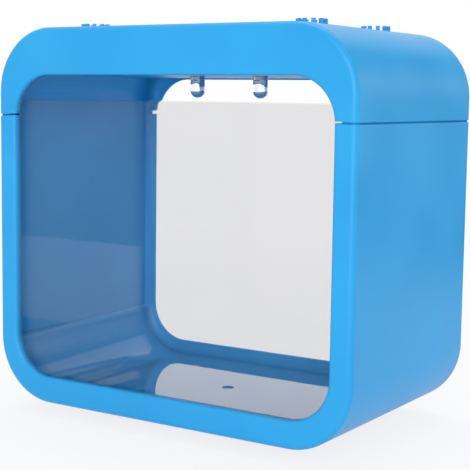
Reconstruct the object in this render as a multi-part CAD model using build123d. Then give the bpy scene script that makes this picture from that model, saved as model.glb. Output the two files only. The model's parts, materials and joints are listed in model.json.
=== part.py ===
from build123d import *
import math
import os

# Mini aquarium: a rounded housing open front and back, a clear tank, and a lift-off lid with two lamps.
# Millimetres. X is the width, the front faces -Y, Z is up, and the feet stand on Z = 0.

# Housing
width = 140.0
depth = 84.5
shell_height = 129.4
corner_radius = 22.0
edge_radius = 2.0
shell_wall = 2.5
bezel_wall = 2.8
lid_height = 29.7         # from the seam to the top of the shell
seam_groove = 0.35

# Window, the same front and back
jamb_width = 7.7
sill_height = 9.3
head_height = 16.0
window_radius = 14.3
window_edge_radius = 1.2
notch_width = 2.6         # small gaps at the seam beside each window
front_notch_height = 0.5
rear_notch_height = 1.3

# Stacking feet and studs, on one pattern
stud_margin = 2.65        # between the battery door and the studs
stack_inset = 20.25       # from the front and rear faces
foot_height = 4.5
foot_radius = 4.5
foot_round = 2.0
spigot_radius = 2.0
stud_height = 1.8
stud_radius = 5.0
stud_wall = 1.1
stud_notch_count = 8
stud_notch_width = 1.3
stud_notch_depth = 1.2

# Tank
tank_wall = 2.0
tank_corner = 2.0
tank_inner_corner = 1.5
tank_rim_rise = 5.3       # rim above the seam
gate_radius = 2.2
gate_depth = 0.4

# Clearances
tank_clearance = 0.3
plate_clearance = 0.3
door_clearance = 0.3
fit_clearance = 0.05
loose_clearance = 0.15

# Lamp plate, the ceiling of the lid
plate_thickness = 2.0
lamp_chamber = 11.0       # inside height above the plate
plate_screw_side = 13.0   # from the housing's side
plate_screw_inset = 6.45  # from the inner face of the bezel
boss_radius = 3.0

# Screws
screw_radius = 1.1
screw_head_radius = 2.3
screw_head_height = 1.2
screw_length = 6.0
screw_tip_room = 1.0
drive_width = 0.6
drive_length = 3.0
drive_depth = 0.5

# Lamps and their board
lamp_radius = 2.5
lamp_drop = 7.5           # below the plate
lamp_spacing = 25.7
lamp_y = -3.0
lamp_flange_radius = 2.9
lamp_flange_height = 1.0
lamp_skin = 0.9           # plate left under the flange
leg_radius = 0.25
leg_pitch = 2.54
leg_rise = 1.5            # above the board
board_length = 44.0
board_depth = 12.0
board_thickness = 1.2
stake_x = 18.5
stake_radius = 1.0
stake_head_radius = 1.7
stake_head_height = 0.7
resistor_radius = 0.9
resistor_length = 3.6
pad_offset = 2.0          # lead ends on the board, from its middle line

# Battery bay
cell_radius = 5.25
cell_length = 44.5
nub_radius = 1.9
nub_length = 1.0
cell_gap = 0.7
bay_setback = 18.45       # from the inner face of the rear bezel to the bay's middle
bay_wall = 1.2
spring_room = 5.0
contact_thickness = 0.4
contact_width = 8.0
tab_width = 2.0
tab_length = 3.5
tab_rise = 1.0            # tabs and leads above the plate
spring_thickness = 0.3
spring_width = 5.0
spring_span = 7.0

# Battery door
door_thickness = 1.3
door_ledge = 2.0
door_rim_wall = 1.0
door_screw_offset = 6.0   # beyond the bay
door_end = 4.2            # beyond the door screws
door_screw_length = 5.0
door_corner = 2.0
door_grip_count = 5
door_grip_pitch = 2.4
door_grip_width = 0.8
door_grip_length = 10.0
door_grip_depth = 0.4

# Slide switch, behind the rear bezel
switch_side = 26.0        # from the housing's side
switch_length = 10.0
switch_depth = 4.4
switch_height = 5.0
flange_length = 17.0
flange_thickness = 0.6
switch_screw_x = 6.8
switch_screw_radius = 0.8
switch_screw_head = 1.5
switch_screw_head_height = 0.8
switch_screw_grip = 1.8
knob_length = 4.0
knob_height = 3.0
knob_travel = 4.0
knob_recess = 0.3
stem_length = 2.0
stem_height = 1.4
stem_depth = 1.6
terminal_pitch = 5.0
terminal_length = 1.6
knob_groove_count = 3
knob_groove_pitch = 1.0
knob_groove_width = 0.4

# Leads
lead_radius = 0.6
lead_bend = 1.8
negative_lead_run = 6.0   # beyond the bay

# Cutters run past the faces that they open, and added pieces run into their carrier
overcut = 1.0
overlap = 0.1

# Heights and faces worked out from the sizes above
shell_bottom = foot_height
shell_top = shell_bottom + shell_height
seam_z = shell_top - lid_height
floor_z = shell_bottom + shell_wall
roof_z = shell_top - shell_wall
plate_top = roof_z - lamp_chamber
plate_bottom = plate_top - plate_thickness
bezel_y = depth / 2 - bezel_wall
rim_z = seam_z + tank_rim_rise
corner_z = shell_top - corner_radius
bay_y = bezel_y - bay_setback
bay_length = cell_length + spring_room + 2 * contact_thickness
bay_depth = 4 * cell_radius + cell_gap + 2 * loose_clearance
cell_offset = cell_radius + cell_gap / 2
cell_z = plate_top + loose_clearance + cell_radius
contact_x = bay_length / 2 - contact_thickness
lead_z = plate_top + tab_rise
switch_z = (plate_top + roof_z) / 2
door_screw_x = bay_length / 2 + door_screw_offset
door_length = 2 * (door_screw_x + door_end)
door_depth = bay_depth + 2 * door_ledge
ledge_z = shell_top - door_thickness
stack_x = door_length / 2 + stud_margin + stud_radius
stack_y = depth / 2 - stack_inset
plate_screw_x = width / 2 - plate_screw_side
plate_screw_y = bezel_y - plate_screw_inset
switch_x = width / 2 - switch_side
big = 4 * width

corners = [("front_left", -1, -1), ("front_right", 1, -1), ("rear_left", -1, 1), ("rear_right", 1, 1)]
sides = [("left", -1), ("right", 1)]


def block(x0, x1, y0, y1, z0, z1):
    """Box between two corners."""
    box = Box(x1 - x0, y1 - y0, z1 - z0)
    return Pos((x0 + x1) / 2, (y0 + y1) / 2, (z0 + z1) / 2) * box


def rod(x, y, z0, z1, radius):
    """Upright cylinder."""
    return Pos(x, y, (z0 + z1) / 2) * Cylinder(radius, z1 - z0)


def rod_x(x0, x1, y, z, radius):
    return Pos((x0 + x1) / 2, y, z) * Rot(0, 90, 0) * Cylinder(radius, x1 - x0)


def rod_y(x, y0, y1, z, radius):
    return Pos(x, (y0 + y1) / 2, z) * Rot(90, 0, 0) * Cylinder(radius, y1 - y0)


def tube_form(inset, length):
    """Rounded rectangle seen from the front, run from front to back."""
    face = RectangleRounded(width - 2 * inset, shell_height - 2 * inset, corner_radius - inset)
    form = extrude(Plane.XZ * face, amount=length / 2, both=True)
    return Pos(0, 0, shell_bottom + shell_height / 2) * form


def window_form():
    clear_width = width - 2 * jamb_width
    clear_height = shell_height - sill_height - head_height
    face = RectangleRounded(clear_width, clear_height, window_radius)
    form = extrude(Plane.XZ * face, amount=depth, both=True)
    return Pos(0, 0, shell_bottom + sill_height + clear_height / 2) * form


def on_face(edge, y):
    box = edge.bounding_box()
    return abs(box.min.Y - y) < 1e-4 and abs(box.max.Y - y) < 1e-4


def housing():
    """Whole hollow shell, before it is parted at the seam."""
    outside = tube_form(0, depth)
    rims = outside.edges().filter_by(lambda e: on_face(e, depth / 2) or on_face(e, -depth / 2))
    outside = fillet(rims, edge_radius)
    shell = outside - tube_form(shell_wall, 2 * bezel_y) - window_form()
    inner_limit = width / 2 - jamb_width + window_edge_radius

    def is_window_edge(edge):
        box = edge.bounding_box()
        flat = on_face(edge, depth / 2) or on_face(edge, -depth / 2)
        return flat and max(abs(box.min.X), abs(box.max.X)) < inner_limit

    shell = fillet(shell.edges().filter_by(is_window_edge), window_edge_radius)
    return outside, shell


def groove_ring(z0, z1):
    """Shallow step round the outside, next to the seam."""
    ring = block(-big, big, -big, big, z0, z1)
    inner_x = width / 2 - seam_groove
    inner_y = depth / 2 - seam_groove
    core = RectangleRounded(2 * inner_x, 2 * inner_y, edge_radius)
    return ring - Pos(0, 0, z0) * extrude(core, amount=z1 - z0)


def lower_housing(shell):
    body = shell & block(-big, big, -big, big, -big, seam_z)
    body -= groove_ring(seam_z - seam_groove, seam_z)
    for _, sx, sy in corners:
        x, y = sx * stack_x, sy * stack_y
        body -= rod(x, y, shell_bottom - overcut, floor_z + overcut, spigot_radius + fit_clearance)
    return body


def foot(x, y):
    knob = rod(x, y, 0, foot_height, foot_radius)
    lowest = knob.edges().sort_by(Axis.Z)[0]
    knob = fillet(lowest, foot_round)
    return knob + rod(x, y, foot_height - overlap, floor_z - fit_clearance, spigot_radius)


def tank_form(inset, half_depth, round_radius):
    """Block with the housing's round lower corners, cut off at the rim, standing on the floor."""
    form = Pos(0, 0, -tank_clearance) * tube_form(shell_wall + tank_clearance + inset, 2 * half_depth)
    form -= block(-big, big, -big, big, rim_z, big)
    ends = form.edges().filter_by(lambda e: on_face(e, half_depth) or on_face(e, -half_depth))
    return fillet([e for e in ends if e.center().Z < rim_z - edge_radius], round_radius)


def inner_tank():
    """Clear open box, with a shallow gate mark in its floor."""
    half_depth = bezel_y - tank_clearance
    hollow = tank_form(tank_wall, half_depth - tank_wall, tank_inner_corner)
    body = tank_form(0, half_depth, tank_corner) - hollow
    gate_z = floor_z + tank_wall
    return body - rod(0, 0, gate_z - gate_depth, gate_z + overcut, gate_radius)


def stud(x, y):
    """Stacking ring with notches in its rim."""
    ring = rod(x, y, shell_top - shell_wall / 2, shell_top + stud_height, stud_radius)
    ring -= rod(x, y, shell_top, shell_top + 2 * stud_height, stud_radius - stud_wall)
    rim_low = shell_top + stud_height - stud_notch_depth
    for i in range(stud_notch_count // 2):
        bar = Box(4 * stud_radius, stud_notch_width, 2 * stud_notch_depth)
        turn = 180.0 / (stud_notch_count / 2) * (i + 0.5)
        ring -= Pos(x, y, rim_low + stud_notch_depth) * Rot(0, 0, turn) * bar
    return ring


def bay_block():
    """Walls of the battery bay, from the roof down to the plate."""
    x, y = bay_length / 2, bay_depth / 2
    outer_x, outer_y = x + bay_wall, y + bay_wall
    outer = block(-outer_x, outer_x, bay_y - outer_y, bay_y + outer_y, plate_top, roof_z)
    return outer - block(-x, x, bay_y - y, bay_y + y, plate_top - overcut, roof_z + overcut)


def seam_notch(side, facing, height):
    """Gap at the seam beside one window, through the bezel on the facing side."""
    jamb = width / 2 - jamb_width
    x0, x1 = sorted((side * (jamb - overcut), side * (jamb + notch_width)))
    y0, y1 = sorted((0, facing * depth))
    return block(x0, x1, y0, y1, seam_z - overcut, seam_z + height)


def upper_housing(outside, shell):
    body = shell & block(-big, big, -big, big, seam_z, big)
    body -= groove_ring(seam_z, seam_z + seam_groove)
    for _, side in sides:
        body -= seam_notch(side, -1, front_notch_height)
        body -= seam_notch(side, 1, rear_notch_height)
    posts = bay_block()
    for _, sx, sy in corners:
        posts += rod(sx * plate_screw_x, sy * plate_screw_y, plate_top, roof_z, boss_radius)
    for _, side in sides:
        posts += rod(side * door_screw_x, bay_y, plate_top, ledge_z, boss_radius)
    body += posts & outside
    for _, sx, sy in corners:
        body += stud(sx * stack_x, sy * stack_y)
    body -= door_pocket()
    for _, sx, sy in corners:
        x, y = sx * plate_screw_x, sy * plate_screw_y
        top = plate_top + screw_length - plate_thickness + screw_tip_room
        body -= rod(x, y, plate_top - overcut, top, screw_radius + fit_clearance)
    for _, side in sides:
        low = shell_top - door_screw_length - screw_tip_room
        body -= rod(side * door_screw_x, bay_y, low, shell_top, screw_radius + fit_clearance)
    near = bay_length / 2 - overlap
    far = bay_length / 2 + bay_wall + overlap
    half = tab_width / 2 + loose_clearance
    high = lead_z + contact_thickness / 2 + loose_clearance
    for side_y in (-1, 1):
        y = bay_y + side_y * cell_offset
        body -= block(near, far, y - half, y + half, plate_top - overcut, high)
    return body - switch_holes()


def door_pocket():
    """Sunk seat for the battery door, and the opening over the cells."""
    gap = door_clearance
    face = RectangleRounded(door_length + 2 * gap, door_depth + 2 * gap, door_corner + gap)
    seat = Pos(0, bay_y, ledge_z) * extrude(face, amount=2 * door_thickness)
    x, y = bay_length / 2, bay_depth / 2
    return seat + block(-x, x, bay_y - y, bay_y + y, roof_z - overcut, shell_top)


def switch_holes():
    """Slot for the knob through the rear bezel, and two blind screw holes."""
    half = (knob_length + knob_travel) / 2 + loose_clearance
    high = knob_height / 2 + loose_clearance
    near_y = bezel_y - overcut
    slot = block(switch_x - half, switch_x + half, near_y, big, switch_z - high, switch_z + high)
    far_y = bezel_y + switch_screw_grip + fit_clearance
    for _, side in sides:
        x = switch_x + side * switch_screw_x
        slot += rod_y(x, near_y, far_y, switch_z, switch_screw_radius + fit_clearance)
    return slot


def cavity_half_width(z):
    """Half of the clear width inside the lid at height z."""
    rise = max(z - corner_z, 0)
    radius = corner_radius - shell_wall
    return width / 2 - corner_radius + math.sqrt(radius ** 2 - rise ** 2)


def head_cone(x, y, z, facing, growth):
    """Countersunk head with its flat face at z, facing up (1) or down (-1)."""
    cone = Cone(screw_radius + growth, screw_head_radius + growth, screw_head_height)
    turned = cone if facing > 0 else Rot(180, 0, 0) * cone
    return Pos(x, y, z - facing * screw_head_height / 2) * turned


def countersunk_screw(x, y, z, facing, length):
    far = z - facing * length
    shank = rod(x, y, min(z, far), max(z, far), screw_radius)
    screw = head_cone(x, y, z, facing, 0) + shank
    slot = Pos(x, y, z) * Box(drive_length, drive_width, 2 * drive_depth)
    cross = Pos(x, y, z) * Box(drive_width, drive_length, 2 * drive_depth)
    return screw - slot - cross


def lamp_plate():
    """Ceiling of the lid, held by four screws from below."""
    half_x = cavity_half_width(plate_top) - plate_clearance
    half_y = bezel_y - plate_clearance
    plate = block(-half_x, half_x, -half_y, half_y, plate_bottom, plate_top)
    for _, sx, sy in corners:
        x, y = sx * plate_screw_x, sy * plate_screw_y
        plate -= rod(x, y, plate_bottom, plate_top, screw_radius + loose_clearance)
        plate -= head_cone(x, y, plate_bottom, -1, loose_clearance)
    for _, side in sides:
        x = side * lamp_spacing / 2
        plate -= rod(x, lamp_y, plate_bottom, plate_top, lamp_radius + fit_clearance)
        plate -= rod(x, lamp_y, plate_bottom + lamp_skin, plate_top, lamp_flange_radius + fit_clearance)
        board_top = plate_top + board_thickness
        head_top = board_top + stake_head_height
        plate += rod(side * stake_x, lamp_y, plate_top - overlap, head_top, stake_radius)
        plate += rod(side * stake_x, lamp_y, board_top, head_top, stake_head_radius)
    return plate


def lamp(side):
    """Round-tipped lamp, pushed down into the plate as far as its flange."""
    x = side * lamp_spacing / 2
    flange_z = plate_bottom + lamp_skin
    tip_z = plate_bottom - lamp_drop
    lens = rod(x, lamp_y, tip_z + lamp_radius, flange_z + lamp_flange_height, lamp_radius)
    lens += Pos(x, lamp_y, tip_z + lamp_radius) * Sphere(lamp_radius)
    lens += rod(x, lamp_y, flange_z, flange_z + lamp_flange_height, lamp_flange_radius)
    for end in (-1, 1):
        leg_x = x + end * leg_pitch / 2
        lens += rod(leg_x, lamp_y, flange_z, plate_top + board_thickness + leg_rise, leg_radius)
    return lens


def lamp_board():
    x, y = board_length / 2, board_depth / 2
    board = block(-x, x, lamp_y - y, lamp_y + y, plate_top, plate_top + board_thickness)
    low = plate_top - overcut
    for _, side in sides:
        board -= rod(side * stake_x, lamp_y, low, shell_top, stake_radius + fit_clearance)
        for end in (-1, 1):
            leg_x = side * lamp_spacing / 2 + end * leg_pitch / 2
            board -= rod(leg_x, lamp_y, low, shell_top, leg_radius + fit_clearance)
    return board


def lamp_resistor():
    z = plate_top + board_thickness + resistor_radius
    return rod_x(-resistor_length / 2, resistor_length / 2, lamp_y, z, resistor_radius)


def cell(side_y, nub_side):
    """Round cell; its nub meets the contact on nub_side."""
    y = bay_y + side_y * cell_offset
    tip = nub_side * (contact_x - fit_clearance)
    shoulder = tip - nub_side * nub_length
    tail = tip - nub_side * cell_length
    can = rod_x(min(shoulder, tail), max(shoulder, tail), y, cell_z, cell_radius)
    return can + rod_x(min(shoulder, tip), max(shoulder, tip), y, cell_z, nub_radius)


def contact_plate(side_x, y0, y1):
    low = plate_top + fit_clearance
    high = cell_z + contact_width / 2
    x0, x1 = sorted((side_x * contact_x, side_x * (contact_x + contact_thickness - fit_clearance)))
    return block(x0, x1, y0, y1, low, high)


def end_contact(side_y):
    """Contact with a solder tab that leaves the bay through the end wall."""
    y = bay_y + side_y * cell_offset
    plate = contact_plate(1, y - contact_width / 2, y + contact_width / 2)
    half_y = tab_width / 2
    half_z = contact_thickness / 2
    tab_end = contact_x + tab_length
    return plate + block(contact_x, tab_end, y - half_y, y + half_y, lead_z - half_z, lead_z + half_z)


def series_contact():
    reach = cell_offset + contact_width / 2
    return contact_plate(-1, bay_y - reach, bay_y + reach)


def contact_spring(side_y, side_x):
    """Bowed leaf between a contact and the flat end of a cell."""
    y = bay_y + side_y * cell_offset
    foot_x = contact_x - fit_clearance
    crest_x = cell_length - contact_x + 2 * fit_clearance
    half = spring_span / 2
    near = Vector(side_x * foot_x, y - half, cell_z)
    far = Vector(side_x * foot_x, y + half, cell_z)
    crest = Vector(side_x * crest_x, y, cell_z)
    lift = Vector(side_x * spring_thickness, 0, 0)
    bow = ThreePointArc(near, crest, far)
    back = ThreePointArc(far - lift, crest + lift, near - lift)
    outline = [bow, Line(far, far - lift), back, Line(near - lift, near)]
    leaf = extrude(make_face(outline), amount=spring_width / 2, dir=(0, 0, 1), both=True)
    return leaf


def battery_door():
    face = RectangleRounded(door_length, door_depth, door_corner)
    door = Pos(0, bay_y, ledge_z) * extrude(face, amount=door_thickness)
    x = bay_length / 2 - door_clearance
    y = bay_depth / 2 - door_clearance
    rim = block(-x, x, bay_y - y, bay_y + y, roof_z, ledge_z + overlap)
    in_x, in_y = x - door_rim_wall, y - door_rim_wall
    door += rim - block(-in_x, in_x, bay_y - in_y, bay_y + in_y, roof_z - overcut, ledge_z)
    for _, side in sides:
        door -= rod(side * door_screw_x, bay_y, roof_z, shell_top, screw_radius + loose_clearance)
        door -= head_cone(side * door_screw_x, bay_y, shell_top, 1, loose_clearance)
    for i in range(door_grip_count):
        grip_x = (i - (door_grip_count - 1) / 2) * door_grip_pitch
        bar = Box(door_grip_width, door_grip_length, 2 * door_grip_depth)
        door -= Pos(grip_x, bay_y, shell_top) * bar
    return door


def switch_body():
    """Slide switch with a mounting flange against the bezel and two terminals."""
    half = switch_length / 2
    flange = flange_length / 2
    flange_y = bezel_y - flange_thickness
    back = flange_y - switch_depth
    low, high = switch_z - switch_height / 2, switch_z + switch_height / 2
    body = block(switch_x - half, switch_x + half, back, bezel_y, low, high)
    body += block(switch_x - flange, switch_x + flange, flange_y, bezel_y, low, high)
    reach = (stem_length + knob_travel) / 2 + loose_clearance
    rise = stem_height / 2 + loose_clearance
    floor_y = bezel_y - stem_depth - loose_clearance
    far_y = bezel_y + overcut
    body -= block(switch_x - reach, switch_x + reach, floor_y, far_y, switch_z - rise, switch_z + rise)
    for _, side in sides:
        x = switch_x + side * switch_screw_x
        body -= rod_y(x, flange_y - overcut, far_y, switch_z, switch_screw_radius + fit_clearance)
        pin_x = switch_x + side * terminal_pitch / 2
        x0, x1 = pin_x - leg_radius, pin_x + leg_radius
        body += block(x0, x1, back - terminal_length, back + overlap, lead_z - lead_radius, switch_z)
    return body


def switch_screws():
    group = []
    for _, side in sides:
        x = switch_x + side * switch_screw_x
        head_y = bezel_y - flange_thickness
        screw = rod_y(x, head_y - switch_screw_head_height, head_y, switch_z, switch_screw_head)
        screw += rod_y(x, head_y, bezel_y + switch_screw_grip, switch_z, switch_screw_radius)
        group.append(screw)
    return group


def switch_knob():
    """Grooved knob in the bezel slot, at the off end of its travel."""
    x = switch_x - knob_travel / 2
    face_y = depth / 2 - knob_recess
    back_y = bezel_y + fit_clearance
    half_x, half_z = knob_length / 2, knob_height / 2
    knob = block(x - half_x, x + half_x, back_y, face_y, switch_z - half_z, switch_z + half_z)
    half_x, half_z = stem_length / 2, stem_height / 2
    stem_y = bezel_y - stem_depth
    knob += block(x - half_x, x + half_x, stem_y, back_y + overlap, switch_z - half_z, switch_z + half_z)
    for i in range(knob_groove_count):
        groove_x = x + (i - (knob_groove_count - 1) / 2) * knob_groove_pitch
        knob -= Pos(groove_x, face_y, switch_z) * Box(knob_groove_width, knob_groove_width, knob_height)
    return knob


def lead(points):
    """Insulated lead lying above the plate along straight runs and arcs."""
    route = FilletPolyline([(x, y, lead_z) for x, y in points], radius=lead_bend)
    section = Plane(origin=route @ 0, z_dir=route % 0) * Circle(lead_radius)
    return sweep(section, path=route)


def leads():
    tab_end = contact_x + tab_length
    front_y = bay_y - cell_offset
    rear_y = bay_y + cell_offset
    terminal_y = bezel_y - flange_thickness - switch_depth - terminal_length
    left_pin = switch_x - terminal_pitch / 2
    right_pin = switch_x + terminal_pitch / 2
    board_end = board_length / 2
    inner_y = lamp_y + pad_offset
    outer_y = lamp_y - pad_offset
    turn_x = bay_length / 2 + negative_lead_run
    to_board = [(tab_end, front_y), (turn_x, front_y), (turn_x, inner_y), (board_end, inner_y)]
    return {
        "positive_lead": lead([(tab_end, rear_y), (left_pin, rear_y), (left_pin, terminal_y)]),
        "negative_lead": lead(to_board),
        "switch_lead": lead([(right_pin, terminal_y), (right_pin, outer_y), (board_end, outer_y)]),
    }


def build():
    outside, shell = housing()
    nodes = {"lower_housing": lower_housing(shell)}
    for name, sx, sy in corners:
        nodes[name + "_foot"] = foot(sx * stack_x, sy * stack_y)
    nodes["inner_tank"] = inner_tank()
    nodes["upper_housing"] = upper_housing(outside, shell)
    nodes["lamp_plate"] = lamp_plate()
    screw_spots = [(sx * plate_screw_x, sy * plate_screw_y) for _, sx, sy in corners]
    nodes["plate_screws"] = [countersunk_screw(x, y, plate_bottom, -1, screw_length) for x, y in screw_spots]
    for name, side in sides:
        nodes[name + "_lamp"] = lamp(side)
    nodes["lamp_board"] = lamp_board()
    nodes["lamp_resistor"] = lamp_resistor()
    nodes["front_cell"] = cell(-1, -1)
    nodes["rear_cell"] = cell(1, 1)
    nodes["series_contact"] = series_contact()
    nodes["positive_contact"] = end_contact(1)
    nodes["negative_contact"] = end_contact(-1)
    nodes["series_spring"] = contact_spring(1, -1)
    nodes["negative_spring"] = contact_spring(-1, 1)
    nodes["battery_door"] = battery_door()
    door_spots = [side * door_screw_x for _, side in sides]
    nodes["door_screws"] = [countersunk_screw(x, bay_y, shell_top, 1, door_screw_length) for x in door_spots]
    nodes["switch_body"] = switch_body()
    nodes["switch_screws"] = switch_screws()
    nodes["switch_knob"] = switch_knob()
    nodes.update(leads())
    return nodes


os.makedirs("parts", exist_ok=True)
for node_name, piece in build().items():
    solid = Compound(children=piece) if isinstance(piece, list) else piece
    export_step(solid, "parts/" + node_name + ".step")
    print(node_name)
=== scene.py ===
import json
import math

import bmesh
import bpy
from mathutils import Matrix, Vector


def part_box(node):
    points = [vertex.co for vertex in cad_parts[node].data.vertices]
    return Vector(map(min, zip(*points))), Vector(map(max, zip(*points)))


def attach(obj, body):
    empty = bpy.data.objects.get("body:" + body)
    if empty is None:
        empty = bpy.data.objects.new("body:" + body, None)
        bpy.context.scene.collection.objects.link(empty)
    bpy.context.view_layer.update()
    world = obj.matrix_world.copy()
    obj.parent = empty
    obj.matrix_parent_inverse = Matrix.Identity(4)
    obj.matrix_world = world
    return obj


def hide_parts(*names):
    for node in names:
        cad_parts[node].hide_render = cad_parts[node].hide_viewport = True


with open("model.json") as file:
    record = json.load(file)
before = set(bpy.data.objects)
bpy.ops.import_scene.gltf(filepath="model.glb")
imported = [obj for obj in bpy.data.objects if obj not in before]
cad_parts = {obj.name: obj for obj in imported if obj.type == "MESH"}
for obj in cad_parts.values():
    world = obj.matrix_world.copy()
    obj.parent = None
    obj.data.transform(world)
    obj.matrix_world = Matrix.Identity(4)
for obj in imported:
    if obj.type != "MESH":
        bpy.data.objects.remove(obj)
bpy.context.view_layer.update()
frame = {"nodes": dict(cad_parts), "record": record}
nodes = frame["nodes"]
feet = [name for name in nodes if name.endswith("_foot")]
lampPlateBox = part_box("lamp_plate")
mm = 0.001
print("frame loaded:", len(nodes), "nodes")


def linear(hexText):  # sRGB hex to linear RGBA
    values = [int(hexText[i:i + 2], 16) / 255 for i in (0, 2, 4)]
    return [v / 12.92 if v <= 0.04045 else ((v + 0.055) / 1.055) ** 2.4 for v in values] + [1.0]


# settings hold values and links alike: a socket is linked, and a node stands for its first output
def addNode(tree, kind, settings=None):
    node = tree.nodes.new(kind)
    for name, value in (settings or {}).items():
        if isinstance(value, bpy.types.Node):
            value = value.outputs[0]
        if isinstance(value, bpy.types.NodeSocket):
            tree.links.new(value, node.inputs[name])
        elif isinstance(name, int) or name in node.inputs.keys():
            node.inputs[name].default_value = value
        else:
            setattr(node, name, value)
    return node


def newMaterial(name):
    material = bpy.data.materials.new(name)
    material.use_nodes = True
    tree = material.node_tree
    tree.nodes.clear()
    return material, tree


# housing plastic: ABS, injection moulded in a polished tool, so even in colour with a soft gloss
bluePlastic = {
    "colour": "2AA7E6", "deepColour": "24A0E1", "ior": 1.53, "specular": 0.28,
    "cloudSize": 34 * mm, "cloudRange": (0.3, 0.7), "roughness": (0.34, 0.42),
    "pebbleSize": 0.35 * mm, "pebbleHeight": 0.004 * mm,
    "rippleSize": 14 * mm, "rippleHeight": 0.015 * mm,
}


def makeBluePlastic():
    p = bluePlastic
    material, tree = newMaterial("moulded blue ABS")
    place = addNode(tree, "ShaderNodeTexCoord").outputs["Object"]
    cloud = addNode(tree, "ShaderNodeTexNoise", {
        "Vector": place, "Scale": 1 / p["cloudSize"], "Detail": 2.0})
    share = addNode(tree, "ShaderNodeMapRange", {
        "Value": cloud, "From Min": p["cloudRange"][0], "From Max": p["cloudRange"][1]})
    tint = addNode(tree, "ShaderNodeMix", {
        "data_type": "RGBA", 0: share, 6: linear(p["deepColour"]), 7: linear(p["colour"])})
    shine = addNode(tree, "ShaderNodeMapRange", {
        "Value": share, "To Min": p["roughness"][0], "To Max": p["roughness"][1]})
    pebble = addNode(tree, "ShaderNodeTexNoise", {
        "Vector": place, "Scale": 1 / p["pebbleSize"], "Detail": 1.0})
    ripple = addNode(tree, "ShaderNodeTexNoise", {
        "Vector": place, "Scale": 1 / p["rippleSize"], "Detail": 0.0})
    low = addNode(tree, "ShaderNodeBump", {"Height": ripple, "Distance": p["rippleHeight"]})
    fine = addNode(tree, "ShaderNodeBump", {
        "Height": pebble, "Distance": p["pebbleHeight"], "Normal": low})
    skin = addNode(tree, "ShaderNodeBsdfPrincipled", {
        "IOR": p["ior"], "Specular IOR Level": p["specular"], "Base Color": tint.outputs[2],
        "Roughness": shine, "Normal": fine})
    addNode(tree, "ShaderNodeOutputMaterial", {"Surface": skin})
    return material


# tank plastic: clear polystyrene from a polished mould, a mirror at low angles with faint waves
# glint weakens the steep reflections, and passes is what light keeps at each face
clearPlastic = {
    "tint": "F1F1F2", "ior": 1.59, "roughness": 0.015, "glint": "6A6A6A", "passes": "FAFAFB",
    "polish": 0.0, "polishIor": 1.6, "polishRoughness": 0.02,
    "waveSize": 22 * mm, "waveHeight": 0.02 * mm,
}
# tank floor: the same plastic off the core's mirror face, so it throws the rear window back
mirrorPlastic = {**clearPlastic, "tint": "F8F8FA", "glint": "FFFFFF", "polish": 1.0}
# lamp resin: epoxy cast in a polished cup, so it bends what lies behind it and has a bright rim
lampResin = {
    **clearPlastic, "tint": "F2F5F8", "ior": 1.52, "roughness": 0.02, "glint": "FFFFFF",
    "waveSize": 3 * mm, "waveHeight": 0.004 * mm,
}


def makeClearPlastic(name, p):
    material, tree = newMaterial(name)
    place = addNode(tree, "ShaderNodeTexCoord").outputs["Object"]
    wave = addNode(tree, "ShaderNodeTexNoise", {
        "Vector": place, "Scale": 1 / p["waveSize"], "Detail": 1.0})
    bump = addNode(tree, "ShaderNodeBump", {"Height": wave, "Distance": p["waveHeight"]})
    glass = addNode(tree, "ShaderNodeBsdfPrincipled", {
        "IOR": p["ior"], "Roughness": p["roughness"], "Transmission Weight": 1.0,
        "Specular Tint": linear(p["glint"]), "Base Color": linear(p["tint"]),
        "Coat Weight": p["polish"], "Coat Roughness": p["polishRoughness"],
        "Coat IOR": p["polishIor"], "Normal": bump})
    clear = addNode(tree, "ShaderNodeBsdfTransparent", {"Color": linear(p["passes"])})
    path = addNode(tree, "ShaderNodeLightPath")
    soft = addNode(tree, "ShaderNodeMath", {
        "operation": "MAXIMUM", 0: path.outputs["Is Shadow Ray"],
        1: path.outputs["Is Diffuse Ray"]})
    mix = addNode(tree, "ShaderNodeMixShader", {0: soft, 1: glass, 2: clear})
    addNode(tree, "ShaderNodeOutputMaterial", {"Surface": mix})
    return material


# tank rim: the edge at the mould's parting face is matt, so it shows as a pale line, not a dark one
rimPlastic = {
    "colour": "C9D3DC", "roughness": 0.55, "clearShare": 0.35,
    "grainSize": 0.5 * mm, "grainDepth": 0.01 * mm,
}


def makeRimPlastic():
    p = rimPlastic
    material, tree = newMaterial("matt polystyrene edge")
    place = addNode(tree, "ShaderNodeTexCoord").outputs["Object"]
    grain = addNode(tree, "ShaderNodeTexNoise", {
        "Vector": place, "Scale": 1 / p["grainSize"], "Detail": 1.0})
    bump = addNode(tree, "ShaderNodeBump", {"Height": grain, "Distance": p["grainDepth"]})
    skin = addNode(tree, "ShaderNodeBsdfPrincipled", {
        "Base Color": linear(p["colour"]), "Roughness": p["roughness"], "Normal": bump})
    clear = addNode(tree, "ShaderNodeBsdfTransparent")
    mix = addNode(tree, "ShaderNodeMixShader", {0: p["clearShare"], 1: skin, 2: clear})
    addNode(tree, "ShaderNodeOutputMaterial", {"Surface": mix})
    return material


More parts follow.
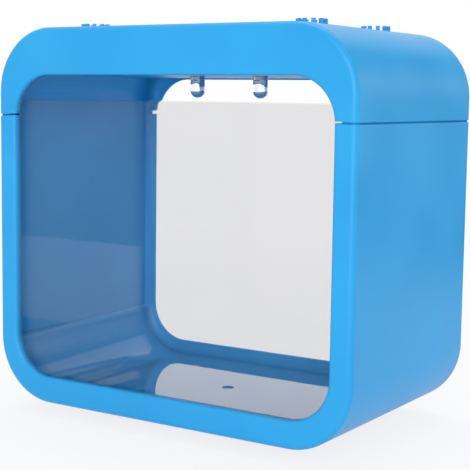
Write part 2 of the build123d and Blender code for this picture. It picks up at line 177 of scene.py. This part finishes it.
# small parts inside the lid: plated metals glint, lacquer, nylon and wire jackets are duller
# each row: colour, metallic, roughness, grain size, grain depth
plainFinishes = {
    "zinc plated steel": ("B9BABC", 1.0, 0.34, 0.30 * mm, 0.010 * mm),
    "nickel plated spring steel": ("C6C2B6", 1.0, 0.26, 0.50 * mm, 0.006 * mm),
    "green solder resist": ("1D6B3C", 0.0, 0.36, 0.80 * mm, 0.010 * mm),
    "silver plated copper": ("D8D6D0", 1.0, 0.22, 0.25 * mm, 0.003 * mm),
    "grey cell jacket": ("3C4046", 0.3, 0.38, 1.20 * mm, 0.006 * mm),
    "pressed steel case": ("A4A6A8", 1.0, 0.40, 0.35 * mm, 0.012 * mm),
    "black nylon": ("17181A", 0.0, 0.48, 0.45 * mm, 0.012 * mm),
    "red wire insulation": ("B01A18", 0.0, 0.44, 0.60 * mm, 0.010 * mm),
    "black wire insulation": ("141416", 0.0, 0.46, 0.60 * mm, 0.010 * mm),
    "white wire insulation": ("D9D8D4", 0.0, 0.44, 0.60 * mm, 0.010 * mm),
}
plainGrain = {"darkShare": 0.86, "range": (0.35, 0.65), "roughnessSpread": 0.05}


def makePlainFinish(name, hexColour, metallic, roughness, grainSize, grainDepth):
    p = plainGrain
    material, tree = newMaterial(name)
    place = addNode(tree, "ShaderNodeTexCoord").outputs["Object"]
    grain = addNode(tree, "ShaderNodeTexNoise", {
        "Vector": place, "Scale": 1 / grainSize, "Detail": 2.0})
    base = linear(hexColour)
    darker = [c * p["darkShare"] for c in base[:3]] + [1.0]
    share = addNode(tree, "ShaderNodeMapRange", {
        "Value": grain, "From Min": p["range"][0], "From Max": p["range"][1]})
    tint = addNode(tree, "ShaderNodeMix", {"data_type": "RGBA", 0: share, 6: darker, 7: base})
    shine = addNode(tree, "ShaderNodeMapRange", {
        "Value": grain, "To Min": roughness - p["roughnessSpread"],
        "To Max": roughness + p["roughnessSpread"]})
    bump = addNode(tree, "ShaderNodeBump", {"Height": grain, "Distance": grainDepth})
    skin = addNode(tree, "ShaderNodeBsdfPrincipled", {
        "Metallic": metallic, "Base Color": tint.outputs[2], "Roughness": shine, "Normal": bump})
    addNode(tree, "ShaderNodeOutputMaterial", {"Surface": skin})
    return material


# resistor: tan dipped lacquer with four painted rings along its length, so it reads as a real part
# each ring: where it starts along the body, and its colour
resistor = {
    "length": 3.6 * mm, "lacquer": "C5A878", "roughness": 0.42, "ringShare": 0.08,
    "rings": [(0.20, "6B3A1E"), (0.36, "1A1A1C"), (0.52, "B5261E"), (0.78, "B08D3A")],
}


def makeResistorSkin():
    p = resistor
    material, tree = newMaterial("dipped resistor lacquer")
    place = addNode(tree, "ShaderNodeTexCoord").outputs["Object"]
    split = addNode(tree, "ShaderNodeSeparateXYZ", {"Vector": place})
    along = addNode(tree, "ShaderNodeMapRange", {
        "Value": split.outputs["X"], "From Min": -p["length"] / 2, "From Max": p["length"] / 2})
    stops = [(0.0, p["lacquer"])]
    for start, colour in p["rings"]:
        stops += [(start, colour), (start + p["ringShare"], p["lacquer"])]
    rings = addNode(tree, "ShaderNodeValToRGB", {"Fac": along})
    elements = rings.color_ramp.elements
    while len(elements) < len(stops):
        elements.new(0.5)
    for element, (position, colour) in zip(elements, stops):
        element.position = position
        element.color = linear(colour)
    rings.color_ramp.interpolation = "CONSTANT"
    skin = addNode(tree, "ShaderNodeBsdfPrincipled", {
        "Base Color": rings, "Roughness": p["roughness"]})
    addNode(tree, "ShaderNodeOutputMaterial", {"Surface": skin})
    return material


bluePlasticSkin = makeBluePlastic()
tankSkin = makeClearPlastic("clear polystyrene", clearPlastic)
floorSkin = makeClearPlastic("mirror polished polystyrene", mirrorPlastic)
lampSkin = makeClearPlastic("clear cast epoxy", lampResin)
rimSkin = makeRimPlastic()
resistorSkin = makeResistorSkin()
plainSkins = {name: makePlainFinish(name, *values) for name, values in plainFinishes.items()}
zincSkin = plainSkins["zinc plated steel"]
nickelSkin = plainSkins["nickel plated spring steel"]
silverSkin = plainSkins["silver plated copper"]

# which nodes take which finish
finishes = [
    (bluePlasticSkin, ["lower_housing", "upper_housing", "lamp_plate", "battery_door"] + feet),
    (tankSkin, ["inner_tank"]),
    (lampSkin, ["left_lamp", "right_lamp"]),
    (resistorSkin, ["lamp_resistor"]),
    (zincSkin, ["plate_screws", "door_screws", "switch_screws"]),
    (nickelSkin, ["series_contact", "positive_contact", "negative_contact", "series_spring",
                  "negative_spring"]),
    (plainSkins["green solder resist"], ["lamp_board"]),
    (plainSkins["grey cell jacket"], ["front_cell", "rear_cell"]),
    (plainSkins["pressed steel case"], ["switch_body"]),
    (plainSkins["black nylon"], ["switch_knob"]),
    (plainSkins["red wire insulation"], ["positive_lead"]),
    (plainSkins["black wire insulation"], ["negative_lead"]),
    (plainSkins["white wire insulation"], ["switch_lead"]),
]
for skin, names in finishes:
    for name in names:
        nodes[name].data.materials.clear()
        nodes[name].data.materials.append(skin)
print("materials made")

record = frame["record"]
bodyOf = {node: body for body, members in record["behaviour"]["bodies"].items() for node in members}
smoothing = {
    "weld": 0.0005 * mm, "sharpAngle": 32, "slack": 0.01 * mm, "faceWeight": 100,
    "edgeSegments": 2,
}


def shadeEdges(mesh):
    mesh.shade_smooth()
    mesh.set_sharp_from_angle(angle=math.radians(smoothing["sharpAngle"]))


# a new piece on the body of a node, which it replaces or adds to
def placePiece(pieceName, mesh, node, replaced=True):
    piece = bpy.data.objects.new(pieceName, mesh)
    bpy.context.scene.collection.objects.link(piece)
    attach(piece, bodyOf[node])
    if replaced:
        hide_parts(node)
    return piece


def weightNormals(piece):
    weights = piece.modifiers.new("weights", "WEIGHTED_NORMAL")
    weights.keep_sharp = True
    weights.weight = smoothing["faceWeight"]


def softenEdges(piece, width):
    soften = piece.modifiers.new("soften", "BEVEL")
    soften.width = width
    soften.segments = smoothing["edgeSegments"]


# leaves some faces out and closes the flat holes again
def dropFaces(work, isDropped):
    bmesh.ops.delete(work, geom=[face for face in work.faces if isDropped(face)], context="FACES")
    rims = [edge for edge in work.edges if edge.is_boundary]
    filled = bmesh.ops.triangle_fill(work, use_beauty=True, edges=rims, normal=(0, 0, 1))["geom"]
    for face in [item for item in filled if isinstance(item, bmesh.types.BMFace)]:
        face.normal_update()
        if face.normal.z < 0:
            face.normal_flip()


# a node's own shape with its corners joined and its curves shaded smooth
# extras gives some faces another finish, as pairs of a material and a test
def smoothCopy(name, extras=(), isDropped=None):
    mesh = nodes[name].data.copy()
    mesh.name = name + "_finished"
    work = bmesh.new()
    work.from_mesh(mesh)
    bmesh.ops.remove_doubles(work, verts=work.verts, dist=smoothing["weld"])
    if isDropped:
        dropFaces(work, isDropped)
    for i, (extraSkin, isExtra) in enumerate(extras):
        mesh.materials.append(extraSkin)
        for face in work.faces:
            if isExtra(face):
                face.material_index = i + 1
    work.to_mesh(mesh)
    work.free()
    shadeEdges(mesh)
    weightNormals(placePiece(name + "_skin", mesh, name))


for name in ["lower_housing", "lamp_plate", "battery_door", "switch_knob"] + feet:
    smoothCopy(name)

# tank: clear walls, a matt rim and a mirror floor
tankShape = {"floorThickness": 2.0 * mm, "floorSlack": 0.05 * mm, "flatNormal": 0.99}
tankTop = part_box("inner_tank")[1].z
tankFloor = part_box("inner_tank")[0].z + tankShape["floorThickness"]


def isTankRim(face):
    return min(v.co.z for v in face.verts) > tankTop - smoothing["slack"]


def isTankFloor(face):
    offset = face.calc_center_median().z - tankFloor
    return face.normal.z > tankShape["flatNormal"] and abs(offset) < tankShape["floorSlack"]


smoothCopy("inner_tank", [(rimSkin, isTankRim), (floorSkin, isTankFloor)])

# cells: a printed jacket round a steel can, with bare metal at both ends
cellFace = {"endShare": 0.985, "nubShare": 0.25, "capDepth": 1.0 * mm, "endNormal": 0.5}


def isCellMetal(face, low, high):
    place = face.calc_center_median()
    reach = (high.x - low.x) / 2 * cellFace["endShare"] - cellFace["capDepth"]
    nearAxis = abs(place.z - (high.z + low.z) / 2) < (high.z - low.z) * cellFace["nubShare"]
    nearEnd = abs(place.x - (low.x + high.x) / 2) > reach
    return abs(face.normal.x) > cellFace["endNormal"] or (nearAxis and nearEnd)


for name in ("front_cell", "rear_cell"):
    low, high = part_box(name)
    smoothCopy(name, [(nickelSkin, lambda face: isCellMetal(face, low, high))])
print("main pieces smoothed")


# Geometry Nodes: inputs are set by identifier, and each result is kept as a plain mesh
def newTree(name, inputs):
    tree = bpy.data.node_groups.new(name, "GeometryNodeTree")
    tree.interface.new_socket("Geometry", in_out="INPUT", socket_type="NodeSocketGeometry")
    for label, kind in inputs.items():
        tree.interface.new_socket(label, in_out="INPUT", socket_type="NodeSocket" + kind)
    tree.interface.new_socket("Geometry", in_out="OUTPUT", socket_type="NodeSocketGeometry")
    return tree, addNode(tree, "NodeGroupInput").outputs


# one copy of the shape on each given point, as real mesh in the given finish
def finishTree(tree, given, shape, turn):
    spread = addNode(tree, "GeometryNodeInstanceOnPoints", {
        "Points": given["Geometry"], "Instance": shape, "Rotation": turn})
    real = addNode(tree, "GeometryNodeRealizeInstances", {"Geometry": spread})
    painted = addNode(tree, "GeometryNodeSetMaterial", {
        "Geometry": real, "Material": given["Finish"]})
    addNode(tree, "NodeGroupOutput", {"Geometry": painted})


def growMesh(name, tree, places, values):
    seed = bpy.data.meshes.new(name + "_places")
    seed.from_pydata(places, [], [])
    holder = bpy.data.objects.new(name + "_holder", seed)
    bpy.context.scene.collection.objects.link(holder)
    modifier = holder.modifiers.new("grow", "NODES")
    modifier.node_group = tree
    for item in tree.interface.items_tree:
        if item.in_out == "INPUT" and item.name in values:
            modifier[item.identifier] = values[item.name]
    graph = bpy.context.evaluated_depsgraph_get()
    mesh = bpy.data.meshes.new_from_object(holder.evaluated_get(graph), depsgraph=graph)
    mesh.name = name
    holder.modifiers.clear()
    bpy.data.objects.remove(holder)
    shadeEdges(mesh)
    return mesh


# screws: a head with a cross recess, a core and a raised thread
countersunk = {
    "Top Radius": 2.3 * mm, "Base Radius": 1.1 * mm, "Head Height": 1.2 * mm,
    "Core Radius": 0.85 * mm, "Thread Pitch": 0.8 * mm, "Thread Depth": 0.24 * mm,
    "Drive Length": 3.0 * mm, "Drive Width": 0.6 * mm, "Drive Depth": 0.5 * mm,
    "Finish": zincSkin,
}
panHead = {
    "Top Radius": 1.15 * mm, "Base Radius": 1.5 * mm, "Head Height": 0.8 * mm,
    "Core Radius": 0.62 * mm, "Thread Pitch": 0.6 * mm, "Thread Depth": 0.17 * mm,
    "Drive Length": 1.6 * mm, "Drive Width": 0.4 * mm, "Drive Depth": 0.35 * mm,
    "Finish": zincSkin,
}
# corners round the head and core, steps in a turn, corners of the ridge, and the decimals of a
# metre at which two rows of screws are one
screwDetail = {"head": 40, "core": 24, "turn": 20, "ridge": 4, "rowDigits": 7}


def makeScrewTree():
    tree, given = newTree("screw", {
        "Top Radius": "Float", "Base Radius": "Float", "Head Height": "Float",
        "Core Radius": "Float", "Length": "Float", "Thread Pitch": "Float",
        "Thread Depth": "Float", "Drive Length": "Float", "Drive Width": "Float",
        "Drive Depth": "Float", "Turn": "Vector", "Finish": "Material"})
    shankLength = addNode(tree, "ShaderNodeMath", {
        "operation": "SUBTRACT", 0: given["Length"], 1: given["Head Height"]})
    head = addNode(tree, "GeometryNodeMeshCone", {
        "Vertices": screwDetail["head"], "Radius Top": given["Top Radius"],
        "Radius Bottom": given["Base Radius"], "Depth": given["Head Height"]})
    headDrop = addNode(tree, "ShaderNodeMath", {
        "operation": "MULTIPLY", 0: given["Head Height"], 1: -1.0})
    headPlace = addNode(tree, "ShaderNodeCombineXYZ", {"Z": headDrop})
    headPlaced = addNode(tree, "GeometryNodeTransform", {
        "Geometry": head, "Translation": headPlace})
    recessDepth = addNode(tree, "ShaderNodeMath", {
        "operation": "MULTIPLY", 0: given["Drive Depth"], 1: 2.0})
    cut = addNode(tree, "GeometryNodeMeshBoolean", {
        "operation": "DIFFERENCE", "solver": "EXACT", "Mesh 1": headPlaced})
    for wide, long in (("Drive Length", "Drive Width"), ("Drive Width", "Drive Length")):
        barSize = addNode(tree, "ShaderNodeCombineXYZ", {
            "X": given[wide], "Y": given[long], "Z": recessDepth})
        bar = addNode(tree, "GeometryNodeMeshCube", {"Size": barSize})
        tree.links.new(bar.outputs["Mesh"], cut.inputs["Mesh 2"])
    core = addNode(tree, "GeometryNodeMeshCylinder", {
        "Vertices": screwDetail["core"], "Radius": given["Core Radius"], "Depth": shankLength})
    coreEnds = addNode(tree, "ShaderNodeMath", {
        "operation": "ADD", 0: given["Length"], 1: given["Head Height"]})
    coreMiddle = addNode(tree, "ShaderNodeMath", {"operation": "MULTIPLY", 0: coreEnds, 1: -0.5})
    corePlace = addNode(tree, "ShaderNodeCombineXYZ", {"Z": coreMiddle})
    corePlaced = addNode(tree, "GeometryNodeTransform", {
        "Geometry": core, "Translation": corePlace})
    turns = addNode(tree, "ShaderNodeMath", {
        "operation": "DIVIDE", 0: shankLength, 1: given["Thread Pitch"]})
    spiral = addNode(tree, "GeometryNodeCurveSpiral", {
        "Resolution": screwDetail["turn"], "Rotations": turns, "Height": shankLength,
        "Start Radius": given["Core Radius"], "End Radius": given["Core Radius"]})
    ridge = addNode(tree, "GeometryNodeCurvePrimitiveCircle", {
        "Resolution": screwDetail["ridge"], "Radius": given["Thread Depth"]})
    thread = addNode(tree, "GeometryNodeCurveToMesh", {
        "Fill Caps": True, "Curve": spiral, "Profile Curve": ridge})
    tipDrop = addNode(tree, "ShaderNodeMath", {
        "operation": "MULTIPLY", 0: given["Length"], 1: -1.0})
    tipPlace = addNode(tree, "ShaderNodeCombineXYZ", {"Z": tipDrop})
    threadPlaced = addNode(tree, "GeometryNodeTransform", {
        "Geometry": thread, "Translation": tipPlace})
    whole = addNode(tree, "GeometryNodeJoinGeometry")
    for part in (threadPlaced, corePlaced, cut):
        tree.links.new(part.outputs[0], whole.inputs["Geometry"])
    finishTree(tree, given, whole, given["Turn"])
    return tree


screwTree = makeScrewTree()


def makeScrews(node, kind, facing):
    low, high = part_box(node)
    widest = max(kind["Top Radius"], kind["Base Radius"])
    xs = (low.x + widest, high.x - widest)
    if facing == "back":  # heads turned towards -Y
        places = [(x, low.y, (low.z + high.z) / 2) for x in xs]
        turn, length = (math.radians(90), 0, 0), high.y - low.y
    else:
        ys = sorted({round(y, screwDetail["rowDigits"]) for y in (low.y + widest, high.y - widest)})
        turn = (0, 0, 0) if facing == "up" else (math.radians(180), 0, 0)
        places = [(x, y, high.z if facing == "up" else low.z) for x in xs for y in ys]
        length = high.z - low.z
    mesh = growMesh(node + "_threaded", screwTree, places, {**kind, "Length": length, "Turn": turn})
    placePiece(node + "_set", mesh, node)


makeScrews("plate_screws", countersunk, "down")
makeScrews("door_screws", countersunk, "up")
makeScrews("switch_screws", panHead, "back")
print("screws grown")

# stacking rings on the lid: notches cut round a short tube, spaced as the two that the photo shows
# each notch is cut by a bar that is some walls long, so it ends short of its neighbours
stackRing = {
    "outer": 5.0 * mm, "wall": 1.1 * mm, "height": 1.8 * mm, "sink": 0.3 * mm, "edge": 0.10 * mm,
    "notches": 11, "notchWidth": 1.45 * mm, "notchDepth": 1.5 * mm, "turn": -39.1, "corners": 96,
    "barWalls": 4.0,
}


def makeRingTree():
    tree, given = newTree("stacking ring", {
        "Outer Radius": "Float", "Wall": "Float", "Height": "Float", "Notches": "Int",
        "Notch Width": "Float", "Notch Depth": "Float", "Turn": "Float", "Finish": "Material"})
    innerRadius = addNode(tree, "ShaderNodeMath", {
        "operation": "SUBTRACT", 0: given["Outer Radius"], 1: given["Wall"]})
    tall = addNode(tree, "ShaderNodeMath", {"operation": "MULTIPLY", 0: given["Height"], 1: 2.0})
    outer = addNode(tree, "GeometryNodeMeshCylinder", {
        "Vertices": stackRing["corners"], "Radius": given["Outer Radius"],
        "Depth": given["Height"]})
    inner = addNode(tree, "GeometryNodeMeshCylinder", {
        "Vertices": stackRing["corners"], "Radius": innerRadius, "Depth": tall})
    spots = addNode(tree, "GeometryNodeMeshCircle", {
        "Vertices": given["Notches"], "Radius": given["Outer Radius"]})
    step = addNode(tree, "ShaderNodeMath", {
        "operation": "DIVIDE", 0: 2 * math.pi, 1: given["Notches"]})
    angle = addNode(tree, "ShaderNodeMath", {
        "operation": "MULTIPLY", 0: addNode(tree, "GeometryNodeInputIndex"), 1: step})
    reach = addNode(tree, "ShaderNodeMath", {
        "operation": "MULTIPLY", 0: given["Wall"], 1: stackRing["barWalls"]})
    deep = addNode(tree, "ShaderNodeMath", {
        "operation": "MULTIPLY", 0: given["Notch Depth"], 1: 2.0})
    barSize = addNode(tree, "ShaderNodeCombineXYZ", {
        "X": reach, "Y": given["Notch Width"], "Z": deep})
    bar = addNode(tree, "GeometryNodeMeshCube", {"Size": barSize})
    bars = addNode(tree, "GeometryNodeInstanceOnPoints", {
        "Points": spots, "Instance": bar,
        "Rotation": addNode(tree, "ShaderNodeCombineXYZ", {"Z": angle})})
    barsReal = addNode(tree, "GeometryNodeRealizeInstances", {"Geometry": bars})
    rimTop = addNode(tree, "ShaderNodeMath", {"operation": "MULTIPLY", 0: given["Height"], 1: 0.5})
    barsUp = addNode(tree, "GeometryNodeTransform", {
        "Geometry": barsReal, "Translation": addNode(tree, "ShaderNodeCombineXYZ", {"Z": rimTop}),
        "Rotation": addNode(tree, "ShaderNodeCombineXYZ", {"Z": given["Turn"]})})
    tube = addNode(tree, "GeometryNodeMeshBoolean", {
        "operation": "DIFFERENCE", "solver": "EXACT", "Mesh 1": outer, "Mesh 2": inner})
    notched = addNode(tree, "GeometryNodeMeshBoolean", {
        "operation": "DIFFERENCE", "solver": "EXACT", "Mesh 1": tube, "Mesh 2": barsUp})
    finishTree(tree, given, notched, (0, 0, 0))
    return tree


def makeStackRings():
    p = stackRing
    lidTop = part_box("upper_housing")[1].z
    ringFoot = lidTop - p["height"] + smoothing["slack"]
    smoothCopy("upper_housing",
               isDropped=lambda face: max(v.co.z for v in face.verts) > ringFoot)
    tall = p["height"] + p["sink"]
    places = []
    for foot in feet:  # each ring stands over a foot
        middle = (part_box(foot)[0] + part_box(foot)[1]) / 2
        places.append((middle.x, middle.y, lidTop - tall / 2))
    mesh = growMesh("stacking_rings_cut", makeRingTree(), places, {
        "Outer Radius": p["outer"], "Wall": p["wall"], "Height": tall, "Notches": p["notches"],
        "Notch Width": p["notchWidth"], "Notch Depth": p["notchDepth"],
        "Turn": math.radians(p["turn"]), "Finish": bluePlasticSkin})
    rings = placePiece("stacking_rings", mesh, "upper_housing", replaced=False)
    softenEdges(rings, p["edge"])
    weightNormals(rings)


makeStackRings()
print("stacking rings grown")

# lamp insides: a stamped frame of two legs with the reflector cup at its end, seen in the resin
# shoulders, lips and starts are shares of the reach, and edges are multiples of half the gap
lampInside = {
    "reach": 1.2 * mm, "thickness": 0.5 * mm, "gap": 0.35 * mm, "halfWidth": 1.55 * mm,
    "legHalf": 0.25 * mm, "legAt": 1.27 * mm, "legRise": 0.9 * mm, "shoulder": 0.4,
    "anvilLip": 0.75, "anvilEdge": 3, "postStart": 0.3, "postLip": 0.7, "postEdge": 5,
    "cupRadius": 0.7 * mm, "cupHeight": 0.4 * mm, "cupFoot": 0.8, "cupLip": 0.9,
    "dish": 0.42 * mm, "dishDepth": 0.45, "segments": 28, "edge": 0.04 * mm,
}


def joinLoops(work, first, second):
    count = len(first)
    for i in range(count):
        j = (i + 1) % count
        work.faces.new((first[i], first[j], second[j], second[i]))


def extrudeOutline(work, outline, centre):  # outline in X and Z, thickness along Y
    loops = []
    for side in (-1, 1):
        y = centre.y + side * lampInside["thickness"] / 2
        loops.append([work.verts.new((centre.x + x, y, centre.z + z)) for x, z in outline])
    work.faces.new(loops[0])
    work.faces.new(list(reversed(loops[1])))
    joinLoops(work, *loops)


def addCup(work, centre):
    p = lampInside
    profile = [(p["cupRadius"] * p["cupFoot"], 0), (p["cupRadius"], p["cupHeight"]),
               (p["cupRadius"] * p["cupLip"], p["cupHeight"]),
               (p["dish"], p["cupHeight"] * p["dishDepth"])]
    angles = [2 * math.pi * i / p["segments"] for i in range(p["segments"])]
    loops = []
    for radius, drop in profile:
        spots = [Vector((radius * math.cos(a), radius * math.sin(a), -drop)) for a in angles]
        loops.append([work.verts.new(centre + spot) for spot in spots])
    for first, second in zip(loops, loops[1:]):
        joinLoops(work, first, second)
    work.faces.new(loops[0])
    work.faces.new(list(reversed(loops[-1])))


def makeLampInside(node):
    p = lampInside
    low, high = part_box(node)
    centre = Vector(((low.x + high.x) / 2, (low.y + high.y) / 2, lampPlateBox[0].z))
    gap, wide, reach, up = p["gap"] / 2, p["halfWidth"], p["reach"], p["legRise"]
    near, far = p["legAt"] - p["legHalf"], p["legAt"] + p["legHalf"]
    shoulder = p["shoulder"] * reach
    anvil = [(-far, up), (-far, 0), (-wide, -shoulder), (-wide, -reach),
             (gap * p["anvilEdge"], -reach), (gap * p["anvilEdge"], -p["anvilLip"] * reach),
             (-gap, -shoulder), (-near, 0), (-near, up)]
    post = [(far, up), (near, up), (near, 0), (gap, -p["postStart"] * reach),
            (gap * p["postEdge"], -p["postLip"] * reach), (gap * p["postEdge"], -reach),
            (wide, -reach), (wide, -shoulder), (far, 0)]
    work = bmesh.new()
    extrudeOutline(work, anvil, centre)
    extrudeOutline(work, post, centre)
    addCup(work, centre + Vector((-wide / 2, 0, -reach)))
    bmesh.ops.recalc_face_normals(work, faces=work.faces)
    mesh = bpy.data.meshes.new(node + "_frame_cut")
    work.to_mesh(mesh)
    work.free()
    shadeEdges(mesh)
    mesh.materials.append(silverSkin)
    softenEdges(placePiece(node + "_frame", mesh, node, replaced=False), p["edge"])


def isLampLeg(face):
    return face.calc_center_median().z > lampPlateBox[1].z


for name in ("left_lamp", "right_lamp"):
    smoothCopy(name, [(silverSkin, isLampLeg)])
    makeLampInside(name)
print("lamps filled")

# camera, solved from the outline of the object in the photograph: degrees, metres, millimetres
cameraFit = {
    "yaw": 32.94, "pitch": 6.546, "roll": 0.753, "distance": 0.42200,
    "target": (0.00148, 0.0, 0.05893), "lens": 92.49, "sensor": 36.0, "nearest": 0.01,
}


def placeCamera():
    yaw, pitch, roll = [math.radians(cameraFit[k]) for k in ("yaw", "pitch", "roll")]
    back = Vector((math.sin(yaw) * math.cos(pitch), -math.cos(yaw) * math.cos(pitch),
                   math.sin(pitch)))
    right = (-back).cross(Vector((0, 0, 1))).normalized()
    up = right.cross(-back)
    tiltedRight = right * math.cos(roll) + up * math.sin(roll)
    tiltedUp = up * math.cos(roll) - right * math.sin(roll)
    base = Vector((0, 0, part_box("lower_housing")[0].z))  # the fit's heights start at the shell
    place = Vector(cameraFit["target"]) + base + back * cameraFit["distance"]
    data = bpy.data.cameras.new("camera")
    data.lens = cameraFit["lens"]
    data.sensor_width = cameraFit["sensor"]
    data.clip_start = cameraFit["nearest"]
    camera = bpy.data.objects.new("camera", data)
    turned = Matrix((tiltedRight, tiltedUp, back)).transposed().to_4x4()
    camera.matrix_world = Matrix.Translation(place) @ turned
    bpy.context.scene.collection.objects.link(camera)
    bpy.context.scene.camera = camera


placeCamera()

# soft studio light: name, place in metres, size in metres, watts
studioLights = [
    ("frontBox", (0.65, -1.60, 0.50), (1.2, 1.0), 17.0),
    ("topBox", (-0.20, 0.20, 1.70), (1.4, 1.0), 11.5),
    ("backBox", (1.20, 1.50, 0.50), (1.2, 0.8), 8.6),
]
# beyond the shadow's reach the board is as white as the backdrop
studio = {
    "aim": (0, 0, 0.06), "white": "FFFFFF", "ambient": 0.44, "backdrop": 1.0,
    "floorColour": "F4F5F7", "floorGlow": 0.82, "floorSize": 8.0, "shadowReach": (0.18, 0.60),
}
# black card behind the object on the right, seen only after a mirror bounce
# without it a white veil lies on the upper part of the tank's walls
darkCard = {
    "left": 0.08, "right": 1.20, "back": 0.36, "height": 0.48, "colour": "0C0D10",
    "bounces": 0.5,
}


def addAreaLight(name, place, size, watts):
    data = bpy.data.lights.new(name, "AREA")
    data.shape = "RECTANGLE"
    data.size, data.size_y = size
    data.energy = watts
    light = bpy.data.objects.new(name, data)
    light.location = place
    aim = Vector(studio["aim"]) - Vector(place)
    light.rotation_euler = aim.to_track_quat("-Z", "Y").to_euler()
    bpy.context.scene.collection.objects.link(light)


def seenDirectly(tree):  # 1 for the camera, and for what metal and glass show
    path = addNode(tree, "ShaderNodeLightPath")
    first = addNode(tree, "ShaderNodeMath", {
        "operation": "MAXIMUM", 0: path.outputs["Is Camera Ray"], 1: path.outputs["Is Glossy Ray"]})
    return addNode(tree, "ShaderNodeMath", {
        "operation": "MAXIMUM", 0: first, 1: path.outputs["Is Transmission Ray"]})


def makeWorld():
    world = bpy.data.worlds.new("studio")
    bpy.context.scene.world = world
    world.use_nodes = True
    tree = world.node_tree
    tree.nodes.clear()
    strength = addNode(tree, "ShaderNodeMix", {
        "data_type": "FLOAT", 0: seenDirectly(tree), 2: studio["ambient"], 3: studio["backdrop"]})
    sky = addNode(tree, "ShaderNodeBackground", {
        "Color": linear(studio["white"]), "Strength": strength})
    addNode(tree, "ShaderNodeOutputWorld", {"Surface": sky})


def addBoard(name, corners):
    mesh = bpy.data.meshes.new(name)
    mesh.from_pydata(corners, [], [(0, 1, 2, 3)])
    board = bpy.data.objects.new(name, mesh)
    bpy.context.scene.collection.objects.link(board)
    return board


def makeFloor():
    half = studio["floorSize"] / 2
    floor = addBoard("floor", [
        (-half, -half, 0), (half, -half, 0), (half, half, 0), (-half, half, 0)])
    material, tree = newMaterial("white studio board")
    paper = addNode(tree, "ShaderNodeBsdfDiffuse", {"Color": linear(studio["floorColour"])})
    glow = addNode(tree, "ShaderNodeEmission", {"Color": linear(studio["white"])})
    place = addNode(tree, "ShaderNodeTexCoord").outputs["Object"]
    away = addNode(tree, "ShaderNodeVectorMath", {"operation": "LENGTH", 0: place})
    near, far = studio["shadowReach"]
    fade = addNode(tree, "ShaderNodeMapRange", {
        "interpolation_type": "SMOOTHSTEP", "Value": away.outputs["Value"], "From Min": near,
        "From Max": far, "To Min": studio["floorGlow"], "To Max": 1.0})
    share = addNode(tree, "ShaderNodeMath", {
        "operation": "MULTIPLY", 0: seenDirectly(tree), 1: fade})
    mix = addNode(tree, "ShaderNodeMixShader", {0: share, 1: paper, 2: glow})
    addNode(tree, "ShaderNodeOutputMaterial", {"Surface": mix})
    floor.data.materials.append(material)


def makeDarkCard():
    p = darkCard
    card = addBoard("dark_card", [
        (p["left"], p["back"], 0), (p["right"], p["back"], 0),
        (p["right"], p["back"], p["height"]), (p["left"], p["back"], p["height"])])
    material, tree = newMaterial("black studio card")
    path = addNode(tree, "ShaderNodeLightPath")
    mirrored = addNode(tree, "ShaderNodeMath", {
        "operation": "GREATER_THAN", 0: path.outputs["Glossy Depth"], 1: p["bounces"]})
    clear = addNode(tree, "ShaderNodeBsdfTransparent")
    dark = addNode(tree, "ShaderNodeEmission", {"Color": linear(p["colour"])})
    mix = addNode(tree, "ShaderNodeMixShader", {0: mirrored, 1: clear, 2: dark})
    addNode(tree, "ShaderNodeOutputMaterial", {"Surface": mix})
    card.data.materials.append(material)


for row in studioLights:
    addAreaLight(*row)
makeWorld()
makeFloor()
makeDarkCard()
bpy.context.scene.view_settings.view_transform = "Standard"
print("studio set")
